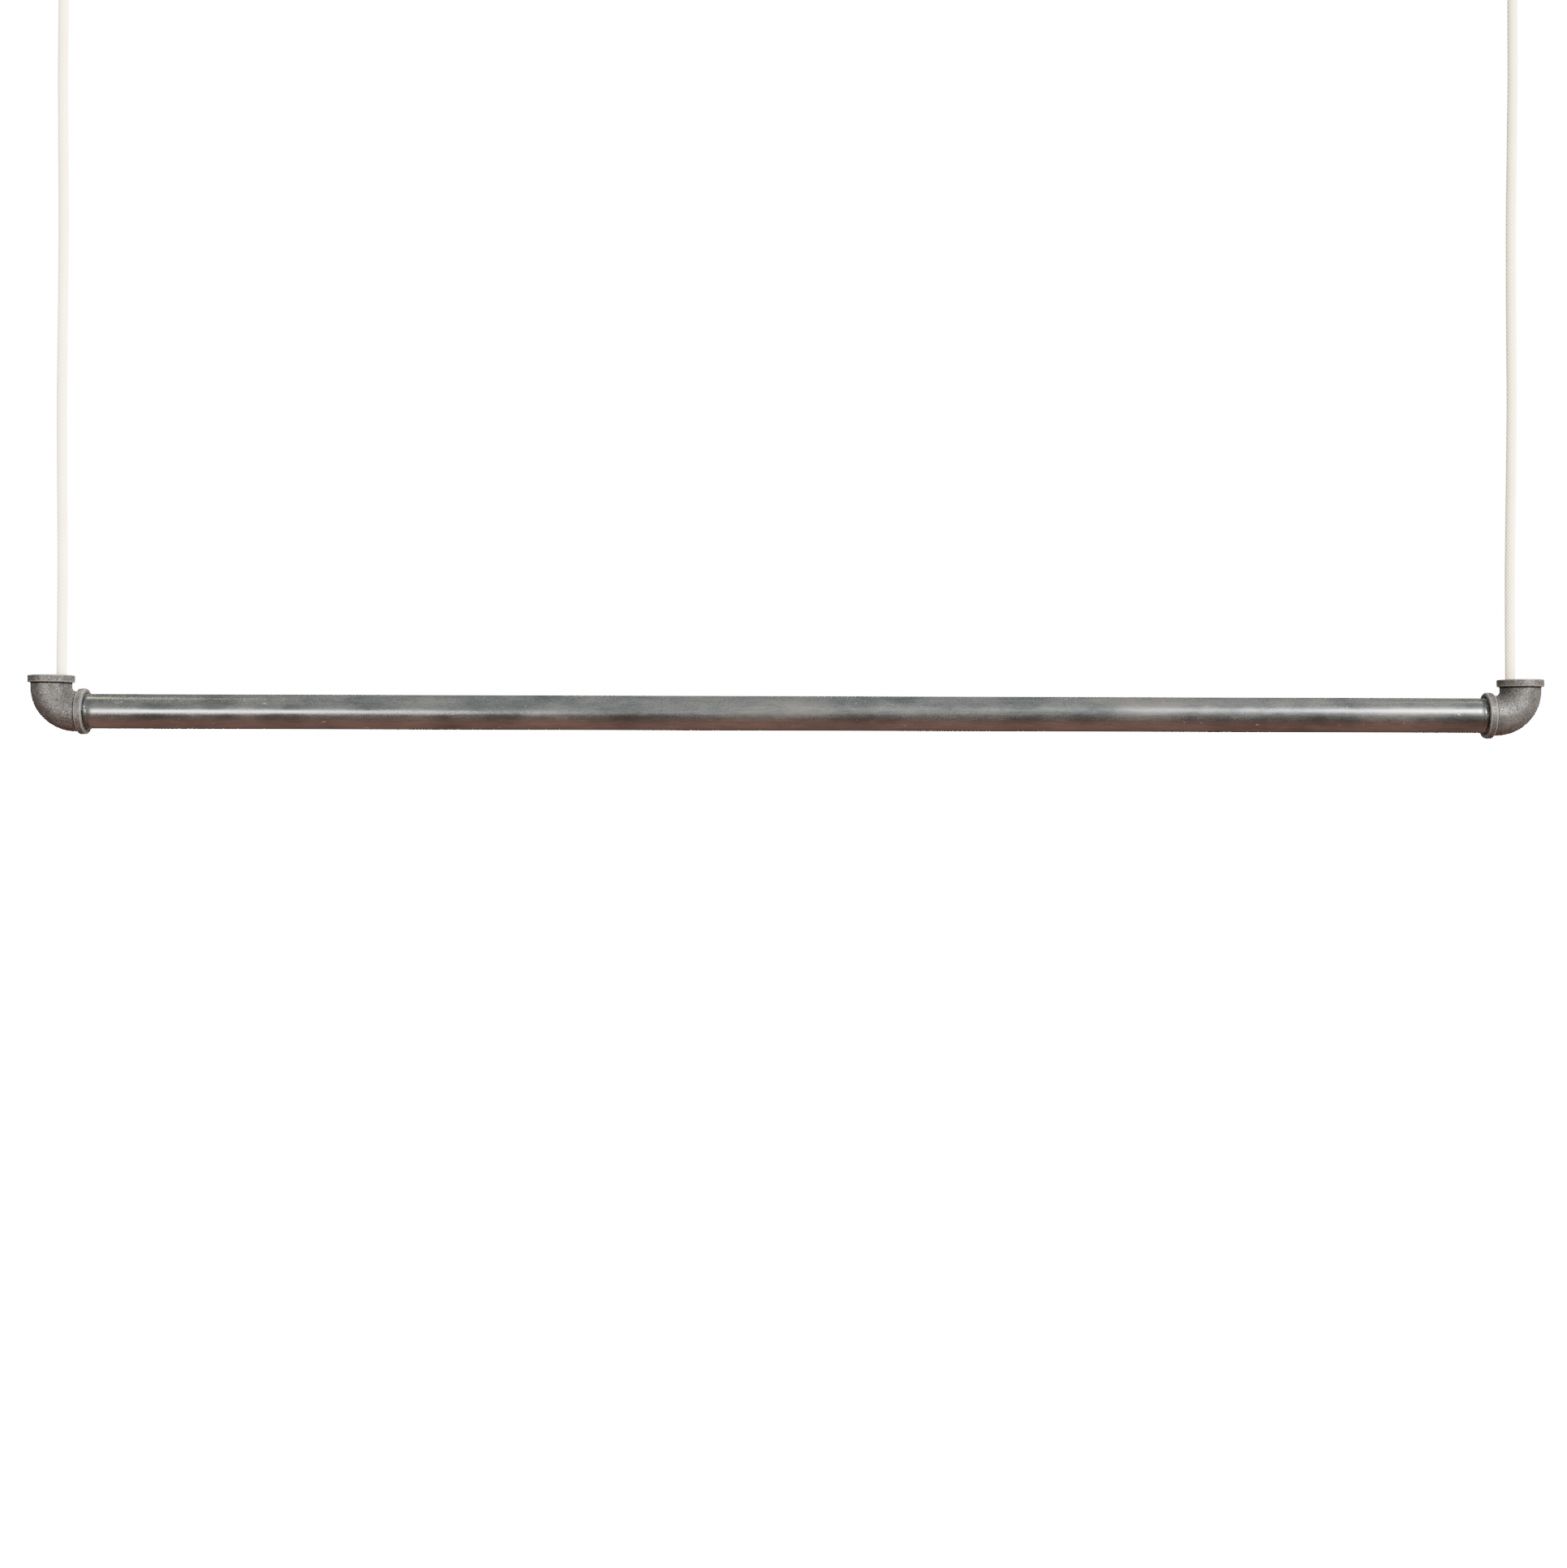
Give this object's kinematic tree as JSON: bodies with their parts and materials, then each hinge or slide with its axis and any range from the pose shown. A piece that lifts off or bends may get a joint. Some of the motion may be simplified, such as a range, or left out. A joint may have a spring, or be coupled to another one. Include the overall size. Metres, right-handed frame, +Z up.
{
  "type": "hanging pipe rail",
  "caption": "Clothes or curtain rail: a dark steel pipe with cast iron elbows at its ends, hung on a cotton rope that runs through it up to ceiling eyes.",
  "frame": {"origin": "in the ceiling's plane, midway between the two ceiling eyes", "axes": "+X along the rail to the viewer's right, +Z up into the ceiling, -Y towards the viewer"},
  "size_m": [1.151, 0.046, 0.7275],
  "materials": {
    "pipe_steel": "raw mill steel, oiled, lightly scuffed",
    "elbow_iron": "as cast, fine sand texture",
    "cotton_rope": "braided, undyed",
    "whipping_twine": "waxed twine",
    "black_steel": "blackened, satin"
  },
  "bodies": {
    "ceiling": {"left_eye": "black_steel", "right_eye": "black_steel", "left_rosette": "black_steel", "right_rosette": "black_steel"},
    "left_hitch": {"left_loop": "cotton_rope", "left_knot": "cotton_rope", "left_tail": "cotton_rope", "left_whipping": "whipping_twine"},
    "right_hitch": {"right_loop": "cotton_rope", "right_knot": "cotton_rope", "right_tail": "cotton_rope", "right_whipping": "whipping_twine"},
    "left_hanger": {"left_rope": "cotton_rope"},
    "right_hanger": {"right_rope": "cotton_rope"},
    "rail": {"pipe": "pipe_steel", "left_elbow": "elbow_iron", "right_elbow": "elbow_iron", "inner_rope": "cotton_rope"}
  },
  "joints": [
    {"name": "left_swing", "type": "hinge", "parent": "ceiling", "child": "left_hitch", "pos_m": [-0.55018, 0, -0.04], "axis": [1, 0, 0], "range_deg": [-40, 40]},
    {"name": "right_swing", "type": "hinge", "parent": "ceiling", "child": "right_hitch", "pos_m": [0.55018, 0, -0.04], "axis": [1, 0, 0], "range_deg": [-40, 40]},
    {"name": "left_sway", "type": "hinge", "parent": "left_hitch", "child": "left_hanger", "pos_m": [-0.55018, 0, -0.0913], "axis": [0, 1, 0], "range_deg": [-15, 15]},
    {"name": "right_sway", "type": "hinge", "parent": "right_hitch", "child": "right_hanger", "pos_m": [0.55018, 0, -0.0913], "axis": [0, 1, 0], "range_deg": [-15, 15]},
    {"name": "rail_level", "type": "hinge", "parent": "left_hanger", "child": "rail", "pos_m": [-0.55018, 0, -0.64956], "axis": [0, 1, 0], "range_deg": [-15, 15]}
  ],
  "couplings": [
    {"joint": "right_swing", "follows": "left_swing", "ratio": 1},
    {"joint": "right_sway", "follows": "left_sway", "ratio": 1},
    {"joint": "rail_level", "follows": "left_sway", "ratio": -1}
  ]
}
